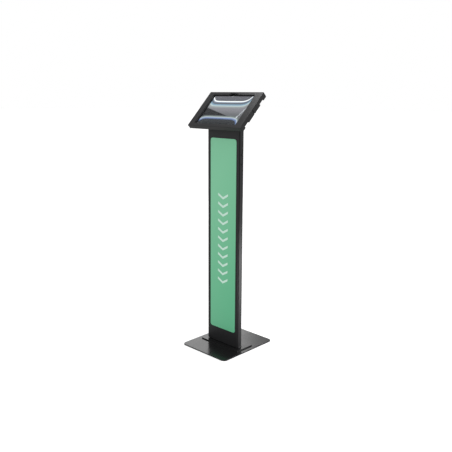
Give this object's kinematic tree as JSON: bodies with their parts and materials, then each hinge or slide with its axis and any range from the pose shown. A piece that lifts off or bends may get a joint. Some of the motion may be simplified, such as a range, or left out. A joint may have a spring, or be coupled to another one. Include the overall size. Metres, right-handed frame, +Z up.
{
  "type": "touchscreen kiosk",
  "caption": "Free-standing touchscreen kiosk: flat base plate, slim sheet-steel column with a green sign panel, and a tilting, turning tablet head with a lockable front frame.",
  "frame": {"origin": "on the floor, under the middle of the base plate", "axes": "+Z up; -Y towards the user, the way the screen and the sign face; +X to the user's right"},
  "size_m": [0.325, 0.3346, 1.1861],
  "materials": {
    "black_powder_coat": "satin, fine orange-peel powder coat",
    "base_powder_coat": "semi-gloss powder coat",
    "green_acrylic": "smooth green acrylic sheet",
    "black_plastic": "matte moulded",
    "black_rubber": "matte moulded",
    "grey_foam": "closed-cell foam",
    "zinc_steel": "bright zinc plate",
    "nickel_plate": "bright nickel plate",
    "white_acetal": "machined acetal",
    "tablet_metal": "bead-blasted, grey anodised",
    "cover_glass": "polished cover glass with a black printed border",
    "display_layer": "lit display layer",
    "battery_wrap": "matte foil wrap",
    "circuit_board": "solder mask",
    "lens_glass": "coated lens"
  },
  "bodies": {
    "stand": {"base_plate": "base_powder_coat", "rubber_feet": "black_rubber", "foot_plate": "base_powder_coat", "foot_screws": "zinc_steel", "column_channel": "black_powder_coat", "column_cap": "black_powder_coat", "cable_grommet": "black_rubber", "side_inserts": "zinc_steel", "neck_bracket": "black_powder_coat", "neck_screws": "zinc_steel", "tilt_bolt": "zinc_steel", "tilt_nut": "zinc_steel", "friction_washers": "white_acetal"},
    "sign": {"sign_frame": "black_powder_coat", "sign_panel": "green_acrylic", "sign_backer": "black_plastic", "sign_magnets": "nickel_plate", "sign_pegs": "nickel_plate"},
    "tilt": {"tilt_bracket": "black_powder_coat", "turn_bush": "white_acetal"},
    "head": {"turn_plate": "zinc_steel", "turn_washer": "white_acetal", "retaining_ring": "zinc_steel", "stop_pin": "zinc_steel", "head_screws": "zinc_steel", "back_tray": "black_powder_coat", "head_grommet": "black_rubber", "corner_blocks": "black_plastic", "back_pads": "grey_foam", "frame_pivots": "zinc_steel", "lock_barrel": "nickel_plate", "lock_nut": "nickel_plate", "tablet_shell": "tablet_metal", "tablet_glass": "cover_glass", "tablet_display": "display_layer", "tablet_battery": "battery_wrap", "tablet_board": "circuit_board", "tablet_camera": "lens_glass"},
    "frame": {"front_frame": "black_powder_coat", "frame_gasket": "grey_foam", "lock_keeper": "zinc_steel", "keeper_rivets": "zinc_steel"},
    "lock": {"lock_plug": "nickel_plate", "lock_cam": "zinc_steel", "cam_screw": "zinc_steel"},
    "power_key": {"power_button": "tablet_metal"},
    "volume_key": {"volume_rocker": "tablet_metal"}
  },
  "joints": [
    {"name": "sign_pull", "type": "slide", "parent": "stand", "child": "sign", "axis": [0, -1, 0], "range_m": [0, 0.02]},
    {"name": "head_tilt", "type": "hinge", "parent": "stand", "child": "tilt", "pos_m": [0, -0.0176, 1.05285], "axis": [1, 0, 0], "range_deg": [-20, 15]},
    {"name": "head_turn", "type": "hinge", "parent": "tilt", "child": "head", "pos_m": [0, -0.02856, 1.1126], "axis": [0, -0.7071, 0.7071], "range_deg": [0, 90]},
    {"name": "frame_swing", "type": "hinge", "parent": "head", "child": "frame", "pos_m": [0, 0.05417, 1.16705], "axis": [-1, 0, 0], "range_deg": [0, 100]},
    {"name": "lock_turn", "type": "hinge", "parent": "head", "child": "lock", "pos_m": [0.149, -0.01442, 1.09846], "axis": [0, -0.7071, 0.7071], "range_deg": [0, 90]},
    {"name": "power_press", "type": "slide", "parent": "head", "child": "power_key", "axis": [0, -0.7071, -0.7071], "range_m": [0, 0.0005], "stiffness_N_per_m": 1500, "springref_m": -0.0002},
    {"name": "volume_rock", "type": "hinge", "parent": "head", "child": "volume_key", "pos_m": [0.068, 0.04774, 1.17348], "axis": [0, -0.7071, 0.7071], "range_deg": [-1.5, 1.5], "stiffness_Nm_per_rad": 0.2}
  ]
}
